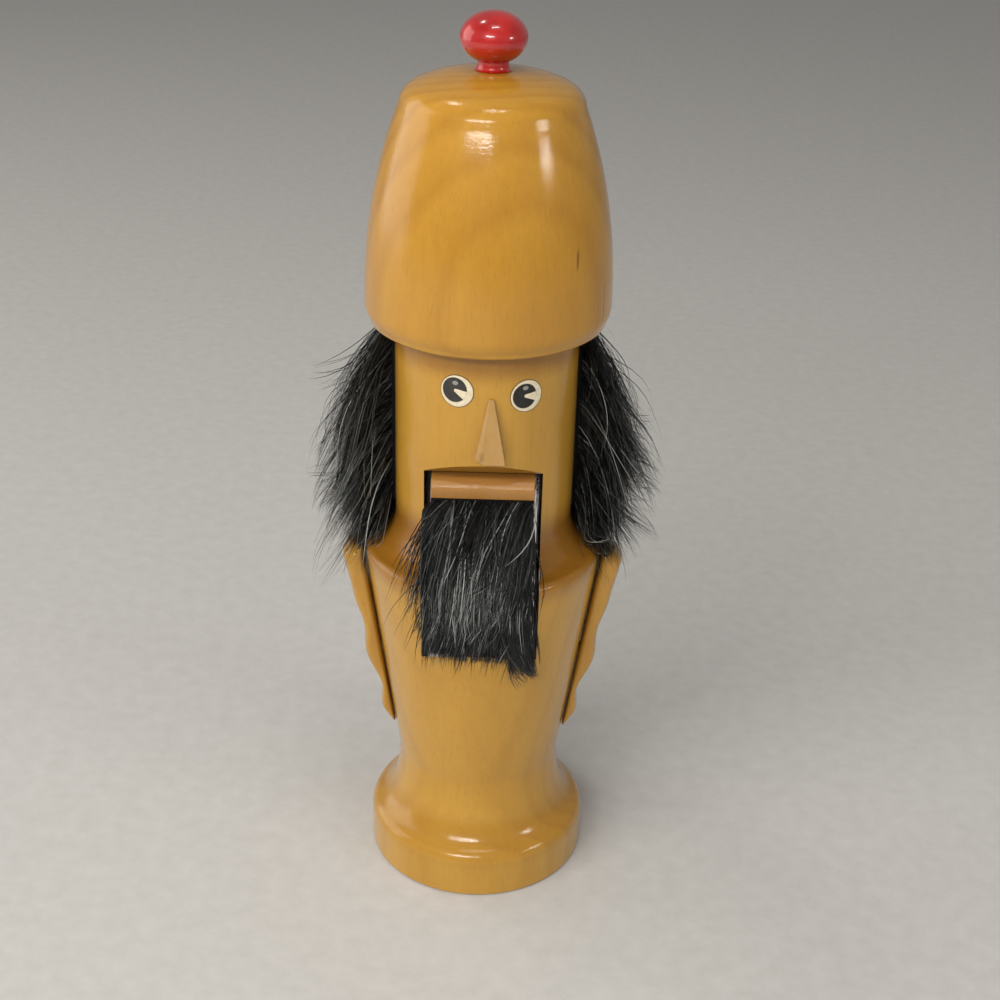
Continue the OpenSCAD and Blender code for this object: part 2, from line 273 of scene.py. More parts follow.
def rod(name, radius, start, end, segments=48):
    """A plain cylinder between two points, used as a cutter."""
    mesh = bpy.data.meshes.new(name)
    bm = bmesh.new()
    axis = Vector(end) - Vector(start)
    turn = axis.to_track_quat("Z", "Y").to_matrix().to_4x4()
    place = Matrix.Translation((Vector(start) + Vector(end)) / 2) @ turn
    bmesh.ops.create_cone(bm, cap_ends=True, segments=segments, radius1=radius, radius2=radius,
                          depth=axis.length, matrix=place)
    bm.to_mesh(mesh)
    bm.free()
    return new_object(name, mesh)


def fix_normals(piece):
    bm = bmesh.new()
    bm.from_mesh(piece.data)
    bmesh.ops.recalc_face_normals(bm, faces=bm.faces)
    bm.to_mesh(piece.data)
    bm.free()


def bake_modifiers(piece):
    """Replaces the mesh by its evaluated shape."""
    graph = bpy.context.evaluated_depsgraph_get()
    graph.update()
    done = bpy.data.meshes.new_from_object(piece.evaluated_get(graph))
    piece.modifiers.clear()
    piece.data = done
    return piece


def cut(piece, cutters):
    """Takes each cutter away from the piece and deletes it."""
    for cutter in cutters:
        tool = piece.modifiers.new("cut", "BOOLEAN")
        tool.operation = "DIFFERENCE"
        tool.solver = "EXACT"
        tool.object = cutter
    bake_modifiers(piece)
    for cutter in cutters:
        bpy.data.objects.remove(cutter)
    piece.data.materials.clear()
    piece.data.polygons.foreach_set("material_index", [0] * len(piece.data.polygons))
    return piece


def soften(piece, width, segments=3, degrees=40):
    """Rounds the sharp edges."""
    bevel = piece.modifiers.new("soften", "BEVEL")
    bevel.width = width
    bevel.segments = segments
    bevel.limit_method = "ANGLE"
    bevel.angle_limit = math.radians(degrees)
    bevel.use_clamp_overlap = True
    weigh = piece.modifiers.new("weigh", "WEIGHTED_NORMAL")
    weigh.keep_sharp = True
    return piece


# ---- node helpers
class Nodes:
    """Short calls for building one material's node tree."""

    def __init__(self, name):
        self.material = bpy.data.materials.new(name)
        self.material.use_nodes = True
        self.tree = self.material.node_tree
        self.tree.nodes.clear()
        self.out = self.tree.nodes.new("ShaderNodeOutputMaterial")
        self.shader = self.tree.nodes.new("ShaderNodeBsdfPrincipled")
        self.tree.links.new(self.shader.outputs[0], self.out.inputs[0])

    def put(self, socket, value):
        """Links a socket, or gives it a plain value."""
        if isinstance(value, bpy.types.NodeSocket):
            self.tree.links.new(value, socket)
        elif value is not None:
            socket.default_value = value

    def node(self, kind, output=0, inputs=None, **settings):
        made = self.tree.nodes.new(kind)
        for key, value in settings.items():
            setattr(made, key, value)
        for key, value in (inputs or {}).items():
            self.put(made.inputs[key], value)
        return made.outputs[output]

    def coords(self):
        """The place on the object, in metres."""
        return self.node("ShaderNodeTexCoord", "Object")

    def scaled(self, vector, scale, location=(0, 0, 0)):
        return self.node("ShaderNodeMapping", 0, {"Vector": vector, "Scale": scale, "Location": location})

    def noise(self, vector, scale, detail=4, roughness=0.55):
        return self.node("ShaderNodeTexNoise", 0, {
            "Vector": vector, "Scale": scale, "Detail": detail, "Roughness": roughness})

    def length(self, a, b):
        """Length of the flat vector (a, b)."""
        return self.math("SQRT", self.math("ADD", self.math("MULTIPLY", a, a), self.math("MULTIPLY", b, b)))

    def math(self, operation, a, b=None, c=None, clamp=False):
        inputs = {0: a, 1: b, 2: c}
        return self.node("ShaderNodeMath", 0, {k: v for k, v in inputs.items() if v is not None},
                         operation=operation, use_clamp=clamp)

    def ramp(self, value, stops):
        """Maps a value to colours. Each stop is (place, (r, g, b)) or (place, grey)."""
        made = self.tree.nodes.new("ShaderNodeValToRGB")
        element = made.color_ramp.elements
        while len(element) < len(stops):
            element.new(0.5)
        for slot, (place, tone) in zip(element, stops):
            slot.position = place
            slot.color = (*tone, 1) if isinstance(tone, tuple) else (tone, tone, tone, 1)
        self.put(made.inputs[0], value)
        return made.outputs[0]

    def mix(self, factor, a, b, blend="MIX"):
        made = self.tree.nodes.new("ShaderNodeMix")
        made.data_type = "RGBA"
        made.blend_type = blend
        self.put(made.inputs[0], factor)
        self.put(made.inputs[6], (*a, 1) if isinstance(a, tuple) else a)
        self.put(made.inputs[7], (*b, 1) if isinstance(b, tuple) else b)
        return made.outputs[2]

    def split(self, vector):
        made = self.tree.nodes.new("ShaderNodeSeparateXYZ")
        self.put(made.inputs[0], vector)
        return made.outputs

    def band(self, value, low, high, edge):
        """1 between low and high, fading to 0 over edge on both sides."""
        rise = self.node("ShaderNodeMapRange", 0, {
            "Value": value, "From Min": low - edge, "From Max": low}, interpolation_type="SMOOTHSTEP")
        fall = self.node("ShaderNodeMapRange", 0, {
            "Value": value, "From Min": high, "From Max": high + edge, "To Min": 1.0, "To Max": 0.0},
            interpolation_type="SMOOTHSTEP")
        return self.math("MULTIPLY", rise, fall)

    def bump(self, height, strength, distance, normal=None):
        return self.node("ShaderNodeBump", 0, {
            "Height": height, "Strength": strength, "Distance": distance, "Normal": normal})

    def set(self, **values):
        """Gives the shader its values and returns the material."""
        names = {"color": "Base Color", "roughness": "Roughness", "normal": "Normal",
                 "metallic": "Metallic",
                 "coat": "Coat Weight", "coat_roughness": "Coat Roughness", "coat_normal": "Coat Normal",
                 "specular": "Specular IOR Level"}
        for key, value in values.items():
            if isinstance(value, tuple):
                value = (*value, 1)
            self.put(self.shader.inputs[names[key]], value)
        return self.material


# ---- materials
def slot_mask(n, x, y, z):
    """1 on the slot's faces, which lie inside the turned surface, and 0 on that surface."""
    skin = 0.55 * MM
    slope = (SHOULDER_R - WAIST_R) / (SHOULDER_Z - WAIST_Z)
    cone = n.math("ADD", n.math("MULTIPLY", z, slope), WAIST_R - slope * WAIST_Z - skin)
    in_trunk = n.math("LESS_THAN", z, SHOULDER_Z)
    neck = HEAD_R - skin
    limit = n.math("ADD", n.math("MULTIPLY", in_trunk, n.math("SUBTRACT", cone, neck)), neck)
    inner = n.math("LESS_THAN", n.length(x, y), limit)
    over_heel = n.math("GREATER_THAN", z, HEEL_Z - 4 * MM)
    under_mouth = n.math("LESS_THAN", z, MOUTH_Z + 0.2 * MM)
    return n.math("MULTIPLY", inner, n.math("MULTIPLY", over_heel, under_mouth))


def ring_pattern(n, place, pith, ring_gap):
    """Tone of the growth rings round a pith line parallel to Z."""
    warp = n.noise(n.scaled(place, (18, 18, 7)), 1.0, 3, 0.5)
    x, y, _ = n.split(n.scaled(place, (1, 1, 0.05), (-pith[0], -pith[1], 0)))
    rings = n.math("ADD", n.math("DIVIDE", n.length(x, y), ring_gap), n.math("MULTIPLY", warp, 2.6))
    phase = n.math("FRACT", rings)
    return n.ramp(phase, [(0.0, 0.45), (0.12, 0.12), (0.55, 0.35), (0.86, 0.85), (1.0, 0.45)])


def add_painted_shade(n, colour, z, shade_bands):
    """Paints shade into the varnish in the hollows, where shade falls. Each band is (low z, high z, edge,
    strength).
    """
    for low, high, edge, strength in shade_bands:
        mask = n.math("MULTIPLY", n.band(z, low, high, edge), strength)
        # The painted shade's colour, multiplied into the wood.
        colour = n.mix(mask, colour, (0.55, 0.43, 0.32), "MULTIPLY")
    return colour


def add_marks(n, colour, x, y, z, marks):
    """Checks and knots on the front. Each mark is (x, z, half length, half width, strength)."""
    for mark_x, mark_z, half_length, half_width, strength in marks:
        across = n.math("ABSOLUTE", n.math("SUBTRACT", x, mark_x))
        along = n.math("ABSOLUTE", n.math("SUBTRACT", z, mark_z))
        thin = n.math("SUBTRACT", 1.0, n.math("DIVIDE", across, half_width), clamp=True)
        taper = n.math("POWER", n.math("DIVIDE", along, half_length), 3.0)
        long = n.math("SUBTRACT", 1.0, taper, clamp=True)
        front = n.math("MULTIPLY", n.math("LESS_THAN", y, 0.0), strength)
        mask = n.math("MULTIPLY", n.math("MULTIPLY", thin, long), front)
        colour = n.mix(mask, colour, (0.10, 0.035, 0.008))
    return colour


def wood(name, light, dark, pith, ring_gap, coat=1.0, rough=0.42, shade_bands=(), contrast=0.5, marks=(),
         inside=False, peel=0.14):
    """Varnished hardwood with growth rings, fibres along Z and short pores.
    inside leaves the slot's faces unvarnished and rougher, and darkens their colour with painted shade."""
    n = Nodes(name)
    place = n.coords()
    x, y, z = n.split(place)
    fibre = n.noise(n.scaled(place, (900, 900, 26)), 1.0, 5, 0.6)
    pores = n.ramp(n.noise(n.scaled(place, (2600, 2600, 210)), 1.0, 2, 0.5),
                   [(0.0, 1.0), (0.31, 0.8), (0.38, 0.0), (1.0, 0.0)])
    blotch = n.noise(n.scaled(place, (34, 34, 16)), 1.0, 3, 0.6)
    fleck = n.noise(n.scaled(place, (420, 420, 300)), 1.0, 3, 0.65)
    streaks = n.math("ADD", n.math("MULTIPLY", fibre, 0.20), n.math("MULTIPLY", fleck, 0.14))
    tone = n.math("ADD", n.math("MULTIPLY", ring_pattern(n, place, pith, ring_gap), 0.5 * contrast),
                  n.math("ADD", streaks, n.math("MULTIPLY", blotch, 0.42)))
    middle = tuple((a + b) / 2 for a, b in zip(light, dark))
    colour = n.ramp(tone, [(0.22, light), (0.52, middle), (0.86, dark)])
    colour = n.mix(n.math("MULTIPLY", pores, 0.22), colour, tuple(c * 0.42 for c in dark))
    colour = add_marks(n, add_painted_shade(n, colour, z, shade_bands), x, y, z, marks)
    roughness = n.ramp(blotch, [(0.3, rough - 0.06), (0.7, rough + 0.08)])
    if inside:
        bare_and_shaded = slot_mask(n, x, y, z)
        # Painted shade darkens the slot's faces; the coat and roughness set below make them unvarnished.
        colour = n.mix(bare_and_shaded, colour, (0.34, 0.22, 0.15), "MULTIPLY")
        roughness = n.math("MAXIMUM", roughness, n.math("MULTIPLY", bare_and_shaded, 0.85))
        coat = n.math("SUBTRACT", 1.0, bare_and_shaded)
    waves = n.noise(n.scaled(place, (120, 120, 55)), 1.0, 2, 0.5)
    specks = n.noise(place, 1500.0, 2, 0.6)
    coat_bump = n.bump(specks, peel, 0.0004, n.bump(waves, 0.16, 0.0012))
    return n.set(color=colour, roughness=roughness, normal=n.bump(fibre, 0.10, 0.0003), coat=coat,
                 coat_roughness=0.09, coat_normal=coat_bump, specular=0.15)


def lacquer():
    """Thick red lacquer, a little uneven, on a small turned knob."""
    n = Nodes("red_lacquer")
    place = n.coords()
    cloud = n.noise(n.scaled(place, (160, 160, 90)), 1.0, 3, 0.5)
    colour = n.ramp(cloud, [(0.3, (0.30, 0.003, 0.003)), (0.7, (0.46, 0.009, 0.007))])
    orange_peel = n.noise(place, 420, 2, 0.5)
    return n.set(color=colour, roughness=n.ramp(cloud, [(0.3, 0.22), (0.7, 0.34)]),
                 normal=n.bump(orange_peel, 0.12, 0.0004), coat=1.0, coat_roughness=0.05,
                 coat_normal=n.bump(cloud, 0.10, 0.001), specular=0.5)


def steel():
    """Drawn steel rod, with fine scratches along X."""
    n = Nodes("steel")
    place = n.coords()
    scratch = n.noise(n.scaled(place, (30, 2600, 2600)), 1.0, 3, 0.5)
    colour = n.ramp(scratch, [(0.3, (0.42, 0.42, 0.43)), (0.7, (0.62, 0.62, 0.63))])
    return n.set(color=colour, metallic=1.0, roughness=n.ramp(scratch, [(0.3, 0.26), (0.7, 0.42)]),
                 normal=n.bump(scratch, 0.2, 0.0001))


def cloth():
    """Plain woven backing of the artificial fur, near black."""
    n = Nodes("backing_cloth")
    place = n.coords()
    warp = n.node("ShaderNodeTexWave", 1, {"Vector": place, "Scale": 900.0, "Distortion": 0.6},
                  wave_type="BANDS", bands_direction="Z")
    weft = n.node("ShaderNodeTexWave", 1, {"Vector": place, "Scale": 900.0, "Distortion": 0.6},
                  wave_type="BANDS", bands_direction="DIAGONAL")
    weave = n.math("MULTIPLY", warp, weft)
    colour = n.ramp(weave, [(0.0, (0.003, 0.003, 0.0035)), (1.0, (0.015, 0.015, 0.017))])
    return n.set(color=colour, roughness=0.9, specular=0.15, normal=n.bump(weave, 0.5, 0.0003))


def fur():
    """Strands: the first map coordinate is a strand's own tone, the second runs from root to tip."""
    n = Nodes("black_fur")
    chart = n.node("ShaderNodeUVMap", 0, uv_map="OFBake")
    tone, along, _ = n.split(chart)
    colour = n.ramp(tone, [
        (0.0, (0.002, 0.0023, 0.0024)), (0.50, (0.009, 0.0104, 0.0104)), (0.72, (0.080, 0.088, 0.086)),
        (0.88, (0.27, 0.285, 0.275)), (1.0, (0.54, 0.55, 0.52))])
    shade = n.ramp(along, [(0.0, 0.25), (0.35, 0.75), (0.8, 1.0), (1.0, 1.0)])
    roughness = n.ramp(along, [(0.0, 0.55), (1.0, 0.38)])
    return n.set(color=n.mix(1.0, colour, shade, "MULTIPLY"), roughness=roughness, specular=0.42)


def eye_print(name, notch_angle, iris_y, iris_tone):
    """A printed eye: iris, notch, glint and outline. Its chart runs from -1 to 1 across the disc."""
    n = Nodes(name)
    u, v, _ = n.split(n.node("ShaderNodeUVMap", 0, uv_map="chart"))

    def spot(cx, cy, sx, sy, soft=0.03):
        du = n.math("DIVIDE", n.math("SUBTRACT", u, cx), sx)
        dv = n.math("DIVIDE", n.math("SUBTRACT", v, cy), sy)
        return n.node("ShaderNodeMapRange", 0, {
            "Value": n.length(du, dv), "From Min": 1.0 - soft, "From Max": 1.0 + soft,
            "To Min": 1.0, "To Max": 0.0})

    iris_x = -0.12
    iris = spot(iris_x, iris_y, 0.735, 0.765)
    cos, sin = math.cos(math.radians(notch_angle)), math.sin(math.radians(notch_angle))
    du = n.math("SUBTRACT", u, iris_x)
    dv = n.math("SUBTRACT", v, iris_y)
    out = n.math("ADD", n.math("MULTIPLY", du, cos), n.math("MULTIPLY", dv, sin))
    side = n.math("ABSOLUTE", n.math("SUBTRACT", n.math("MULTIPLY", dv, cos), n.math("MULTIPLY", du, sin)))
    wedge = n.math("LESS_THAN", side, n.math("ADD", n.math("MULTIPLY", out, 0.27), 0.085))
    wedge = n.math("MULTIPLY", wedge, n.math("GREATER_THAN", out, 0.03))
    inner_end = spot(iris_x + 0.07 * cos, iris_y + 0.07 * sin, 0.10, 0.10)
    notch = n.math("MAXIMUM", wedge, inner_end)
    glint = spot(-0.09, 0.50, 0.17, 0.125, 0.15)
    rim = n.math("GREATER_THAN", n.length(u, v), 0.955)
    worn = n.noise(n.coords(), 900, 3, 0.6)
    white = n.ramp(worn, [(0.3, (0.62, 0.53, 0.36)), (0.7, (0.74, 0.67, 0.50))])
    black = n.ramp(worn, [(0.35, iris_tone), (0.75, tuple(c * 2.2 + 0.004 for c in iris_tone))])
    colour = n.mix(iris, white, black)
    colour = n.mix(n.math("MULTIPLY", iris, glint), colour, (0.26, 0.25, 0.22))
    colour = n.mix(n.math("MULTIPLY", iris, notch), colour, white)
    colour = n.mix(rim, colour, (0.16, 0.10, 0.04))
    return n.set(color=colour, roughness=0.34, coat=0.4, coat_roughness=0.14,
                 normal=n.bump(worn, 0.05, 0.0002), specular=0.3)


# ---- camera, light and floor
VIEW_PLACE = (5.1 * MM, -450 * MM, 362.7 * MM)
VIEW_PITCH = 27.51
VIEW_ROLL = 1.59
VIEW_LENS = 58.53
WARM = (1.0, 0.97, 0.92)
ROOM = (1.0, 0.97, 0.93)
DAY = (1.0, 0.98, 0.95)


def look():
    """The camera stands in front of the figure, above it, and looks down at it, slightly rolled."""
    pitch, roll = math.radians(VIEW_PITCH), math.radians(VIEW_ROLL)
    lens = bpy.data.cameras.new("camera")
    lens.sensor_width = 36.0
    lens.lens = VIEW_LENS
    lens.clip_start = 0.01
    camera = new_object("camera", lens)
    camera.location = VIEW_PLACE
    forward = Vector((0, math.cos(pitch), -math.sin(pitch)))
    right = Vector((1, 0, 0))
    up = right.cross(forward)
    turned_right = right * math.cos(roll) + up * math.sin(roll)
    turned_up = up * math.cos(roll) - right * math.sin(roll)
    camera.matrix_world = Matrix.Translation(camera.location) @ Matrix(
        (turned_right, turned_up, -forward)).transposed().to_4x4()
    bpy.context.scene.camera = camera


def lamp(name, place, size, power, tint, height=None, glossy=True):
    """An area light that faces the middle of the figure. Without glossy it has no reflection."""
    middle = (0, 0, 0.14)
    data = bpy.data.lights.new(name, "AREA")
    data.shape = "RECTANGLE"
    data.size = size
    data.size_y = height or size
    data.energy = power
    data.color = tint
    made = new_object(name, data)
    made.location = place
    made.rotation_mode = "QUATERNION"
    made.rotation_quaternion = (Vector(middle) - Vector(place)).to_track_quat("-Z", "Y")
    made.visible_glossy = glossy


def studio():
    """A plain pale floor, two soft lights and the windows and ceiling lamps that the varnish reflects."""
    half, drop = 4.0, -0.0002
    corners = ((-half, -half), (half, -half), (half, half), (-half, half))
    floor = mesh_from("floor", [(x, y, drop) for x, y in corners], [(0, 1, 2, 3)])
    n = Nodes("floor_paint")
    grain = n.noise(n.coords(), 160, 4, 0.6)
    floor.data.materials.append(n.set(
        color=n.ramp(grain, [(0.3, (0.50, 0.49, 0.47)), (0.7, (0.55, 0.54, 0.52))]), roughness=0.6))
    world = bpy.data.worlds.new("studio")
    world.use_nodes = True
    background = world.node_tree.nodes["Background"]
    background.inputs[0].default_value = (*DAY, 1)
    background.inputs[1].default_value = 0.26
    bpy.context.scene.world = world
    lamp("key", (-0.9, -0.85, 0.95), 0.9, 15.2, WARM, glossy=False)
    lamp("fill", (0.8, -0.9, 0.6), 0.9, 2.9, WARM, glossy=False)
    lamp("left_window", (-1.3, 0.30, 0.5), 1.1, 5.5, DAY)
    lamp("window", (-0.268, -1.024, 0.810), 0.56, 5.2, DAY, 0.085)
    lamp("side_window", (0.876, -0.462, 0.503), 0.17, 0.9, DAY, 0.08)
    lamp("ceiling", (0.05, -0.27, 1.20), 0.30, 1.3, ROOM, 0.08)
    lamp("far_ceiling", (-0.38, 0.24, 1.15), 0.14, 0.8, ROOM, 0.10)
    bpy.context.scene.view_settings.view_transform = "Standard"
    bpy.context.scene.view_settings.look = "None"


look()
studio()

# ---- wooden pieces
# Painted shade, darker in the wood's colour: the flare under the hair, the recess above the base and the
# forehead under the hat's rim.
PAINTED_SHADE_BANDS = [
    (SHOULDER_Z + 4 * MM, SHOULDER_Z + 13 * MM, 10 * MM, 0.95),
    (BASE_SIDE_H + 5 * MM, BASE_SIDE_H + 8 * MM, 8 * MM, 0.35),
    (HEAD_TOP - 5 * MM, HEAD_TOP, 7 * MM, 0.75),
]
AMBER_LIGHT = (0.52, 0.285, 0.036)
AMBER_DARK = (0.33, 0.150, 0.010)
HAT_MARKS = [(24.6 * MM, 216 * MM, 3.2 * MM, 0.45 * MM, 0.9), (33 * MM, 200 * MM, 7 * MM, 0.2 * MM, 0.7)]
NOSE_MARKS = [(-0.6 * MM, 158.2 * MM, 1.6 * MM, 1.3 * MM, 0.45)]

body_wood = wood("body_wood", AMBER_LIGHT, AMBER_DARK, (12 * MM, 30 * MM), 5.5 * MM, shade_bands=PAINTED_SHADE_BANDS,
                 contrast=0.30, inside=True)
hat_wood = wood("hat_wood", (0.50, 0.258, 0.026), (0.31, 0.128, 0.008), (-4 * MM, 16 * MM), 4.2 * MM,
                contrast=0.42, marks=HAT_MARKS)
arm_wood = wood("arm_wood", (0.52, 0.28, 0.040), (0.33, 0.145, 0.012), (20 * MM, 50 * MM), 4 * MM,
                contrast=0.4)
lever_wood = wood("lever_wood", (0.38, 0.190, 0.048), (0.25, 0.100, 0.020), (0, 90 * MM), 3.2 * MM,
                  contrast=0.5, peel=0.45)
nose_wood = wood("nose_wood", (0.44, 0.265, 0.098), (0.30, 0.165, 0.048), (50 * MM, 20 * MM), 6 * MM,
                 coat=0.35, rough=0.5, contrast=0.35, marks=NOSE_MARKS)
raw_wood = wood("raw_wood", (0.62, 0.44, 0.24), (0.45, 0.29, 0.13), (30 * MM, 20 * MM), 3 * MM, coat=0.0,
                rough=0.7, contrast=0.4)


def slot_cutter():
    """The slot from the mouth at the front to the handle's way out at the back."""
    slope = (LIP_Z - HEEL_Z) / (trunk_r(LIP_Z) + trunk_r(HEEL_Z))
    roof_y = 7 * MM
    return prism("slot_cutter", [
        (-FAR, LIP_Z), (-trunk_r(LIP_Z), LIP_Z),
        (FAR, HEEL_Z - slope * (FAR - trunk_r(HEEL_Z))),
        (FAR, SLOT_BACK_Z), (HEAD_R + 1 * MM, SLOT_BACK_Z),
        (roof_y, MOUTH_Z), (-FAR, MOUTH_Z)], 2 * SLOT_HALF)


def bevel_cutter():
    """The bevel over the mouth."""
    reach = 1 * MM
    slope = BEVEL_RISE / BEVEL_RUN
    low = MOUTH_Z - 0.5 * MM
    return prism("bevel_cutter", [
        (BEVEL_RUN - HEAD_R + 0.65 * MM, low),
        (-HEAD_R - reach, MOUTH_Z + slope * (BEVEL_RUN + reach)),
        (-HEAD_R - reach, low)], 2 * SLOT_HALF)


def arm_z(share):
    """Height at a share of the arm's length from the shoulder."""
    return SHOULDER_Z - share * (SHOULDER_Z - HAND_Z)


def arm_dowel_cutters():
    """The holes in the trunk for the arms' dowels."""
    return [
        rod("dowel_cutter", ARM_DOWEL_R, (side * (trunk_r(arm_z(s)) - ARM_DOWEL_IN), 0, arm_z(s)),
            (side * (trunk_r(arm_z(s)) + ARM_DOWEL_OUT), 0, arm_z(s)))
        for side in (-1, 1) for s in ARM_DOWEL_SHARES
    ]


def hat_dowel_cutter():
    return rod("hat_dowel_cutter", HAT_DOWEL_R, (0, 0, HEAD_TOP - HAT_DOWEL_HALF),
               (0, 0, HEAD_TOP + HAT_DOWEL_HALF))


def make_body():
    body = lathe("turned_body", body_outline())
    pin_cutter = rod("pin_cutter", PIN_R, (-FAR, 0, PIN_Z), (FAR, 0, PIN_Z))
    cut(body, [slot_cutter(), bevel_cutter(), pin_cutter, hat_dowel_cutter()] + arm_dowel_cutters())
    smooth(body, 30)
    soften(body, 0.45 * MM)
    body.data.materials.append(body_wood)
    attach(body, "figure")
    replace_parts(body, "body")


def make_hat():
    hat = lathe("turned_hat", hat_outline())
    cut(hat, [hat_dowel_cutter(),
              rod("tenon_cutter", KNOB_TENON_R, (0, 0, knob_low.z), (0, 0, HAT_TOP + 1 * MM))])
    smooth(hat, 40)
    hat.data.materials.append(hat_wood)
    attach(hat, "figure")
    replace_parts(hat, "hat")


def make_knob():
    knob = lathe("turned_knob", knob_outline(), 128)
    smooth(knob, 50)
    knob.data.materials.append(lacquer())
    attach(knob, "figure")
    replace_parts(knob, "knob")


def arm_thickness(share):
    """Thickness between the arm's stations, which are joined by cosine waves."""
    for (s0, t0), (s1, t1) in zip(ARM_STATIONS, ARM_STATIONS[1:]):
        if share <= s1:
            f = (share - s0) / (s1 - s0)
            return (t0 + (t1 - t0) * (0.5 - 0.5 * math.cos(math.pi * f))) * MM
    return ARM_STATIONS[-1][1] * MM


def arm_slice(share, side, around):
    """One horizontal slice of an arm: a rounded box, flat against the body and domed outside."""
    z = arm_z(share)
    inner = trunk_r(z) + ARM_GLUE
    thick = arm_thickness(share)
    end = min(share, 1 - share) / 0.045
    closing = math.sqrt(max(0.0, 1 - (1 - min(end, 1)) ** 2))
    half = (ARM_HALF_DEPTH + (HAND_HALF_DEPTH - ARM_HALF_DEPTH) * share) * (0.62 + 0.38 * closing)
    square, domed = 0.42, 0.62
    points = []
    for k in range(around):
        a = 2 * math.pi * k / around
        c, s = math.cos(a), math.sin(a)
        y = half * math.copysign(abs(s) ** square, s)
        x = 0.5 * (1 + math.copysign(abs(c) ** (square if c < 0 else domed), c)) * thick
        crown = 1 - 0.16 * (y / half) ** 2 if c > 0 else 1
        points.append((side * (inner + x * crown), y, z))
    return points


def make_arm(name, node, side):
    """A carved arm, in horizontal slices from the shoulder to the hand."""
    slices, around = 90, 40
    points = []
    for i in range(slices + 1):
        points += arm_slice(i / slices, side, around)
    faces = [tuple(range(around)), tuple(reversed(range(slices * around, (slices + 1) * around)))]
    for i in range(slices):
        for k in range(around):
            n = (k + 1) % around
            a, b = i * around, (i + 1) * around
            faces.append((a + k, b + k, b + n, a + n))
    arm = mesh_from(name, points, faces)
    fix_normals(arm)
    smooth(arm, 50)
    arm.data.materials.append(arm_wood)
    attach(arm, "figure")
    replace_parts(arm, node)


def finish_cad():
    """Carried-over CAD nodes keep their shape and get their finish."""
    backing = cloth()
    for node, material in {"hat_dowel": raw_wood, "arm_dowels": raw_wood, "pivot_pin": steel(),
                           "beard_backing": backing, "hair_backing": backing}.items():
        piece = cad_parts[node]
        piece.data.materials.clear()
        piece.data.materials.append(material)


def make_nose():
    """A whittled wedge: flat in front, with a chamfer down one edge and a worn corner at its foot."""
    low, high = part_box("nose")
    middle = (low.x + high.x) / 2
    foot_half, top_half = (high.x - low.x) / 2, 0.8 * MM
    foot_out, top_out = -low.y - HEAD_R, 0.8 * MM
    rings = 24
    points = []
    for i in range(rings + 1):
        share = i / rings
        z = low.z + (high.z - low.z) * share
        half = foot_half + (top_half - foot_half) * share
        front = -HEAD_R - foot_out - (top_out - foot_out) * share
        worn = 1.3 * MM * max(0.0, 1 - share / 0.09) ** 2
        chamfer = 1.5 * MM * (1 - 0.75 * share)
        left, right = middle - half + worn, middle + half
        points += [
            (left, -math.sqrt(HEAD_R ** 2 - left ** 2), z),
            (left, min(front + 1.1 * chamfer, -HEAD_R - 0.1 * MM), z),
            (left + chamfer, front, z),
            (right, front + 0.1 * MM, z),
            (right, -math.sqrt(HEAD_R ** 2 - right ** 2), z)]
    around = len(points) // (rings + 1)
    faces = [tuple(range(around)), tuple(range(rings * around, (rings + 1) * around))]
    for i in range(rings):
        a, b = i * around, (i + 1) * around
        faces += [(a + k, b + k, b + (k + 1) % around, a + (k + 1) % around) for k in range(around)]
    nose = mesh_from("whittled_nose", points, faces)
    fix_normals(nose)
    smooth(nose, 20)
    soften(nose, 0.22 * MM)
    nose.data.materials.append(nose_wood)
    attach(nose, "figure")
    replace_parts(nose, "nose")


def handle_edges():
    """The handle's middle line, and its two edges, which draw together towards the tip."""
    root, knee, tip = (0, PIN_Z), (HANDLE_REACH - 2 * MM, PIN_Z - 10 * MM), (HANDLE_REACH, HANDLE_END_Z)
    middle = curve(root, knee, tip, 60)[18:]
    edges = [[], []]
    for i, (y, z) in enumerate(middle):
        before, after = middle[max(i - 1, 0)], middle[min(i + 1, len(middle) - 1)]
        slope = math.atan2(after[1] - before[1], after[0] - before[0])
        share = 0.3 + 0.7 * i / (len(middle) - 1)
        half = (HANDLE_T + (HANDLE_TIP_T - HANDLE_T) * share) / 2
        for side, edge in zip((1, -1), edges):
            edge.append((y - side * half * math.sin(slope), z + side * half * math.cos(slope)))
    return middle, edges


def make_lever():
    """The sawn lever, with rounded edges: a jaw at the front and a bent handle behind."""
    low_z, high_z = PIN_Z - JAW_HEEL, lever_high.z
    front = JAW_ROUND - JAW_FRONT
    middle, (upper, lower) = handle_edges()
    end = middle[-1]
    start_angle = math.degrees(math.atan2(upper[-1][1] - end[1], upper[-1][0] - end[0]))
    cap = arc(end, HANDLE_TIP_T / 2, start_angle, start_angle - 180, 16)[1:-1]
    outline = (
        arc((front, low_z + JAW_ROUND), JAW_ROUND, 270, 180, 10)
        + arc((front, high_z - JAW_ROUND), JAW_ROUND, 180, 90, 10)
        + curve((JAW_BACK, high_z), (JAW_BACK + 2 * MM, SHOULDER_Z + 3 * MM), upper[0], 24)
        + upper[1:] + cap + lower[::-1]
    )
    lever = prism("sawn_lever", outline, lever_high.x - lever_low.x)
    cut(lever, [rod("pin_cutter", LEVER_BORE_R, (-FAR, 0, PIN_Z), (FAR, 0, PIN_Z))])
    smooth(lever, 30)
    soften(lever, 0.8 * MM)
    lever.data.materials.append(lever_wood)
    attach(lever, "lever")
    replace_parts(lever, "lever")


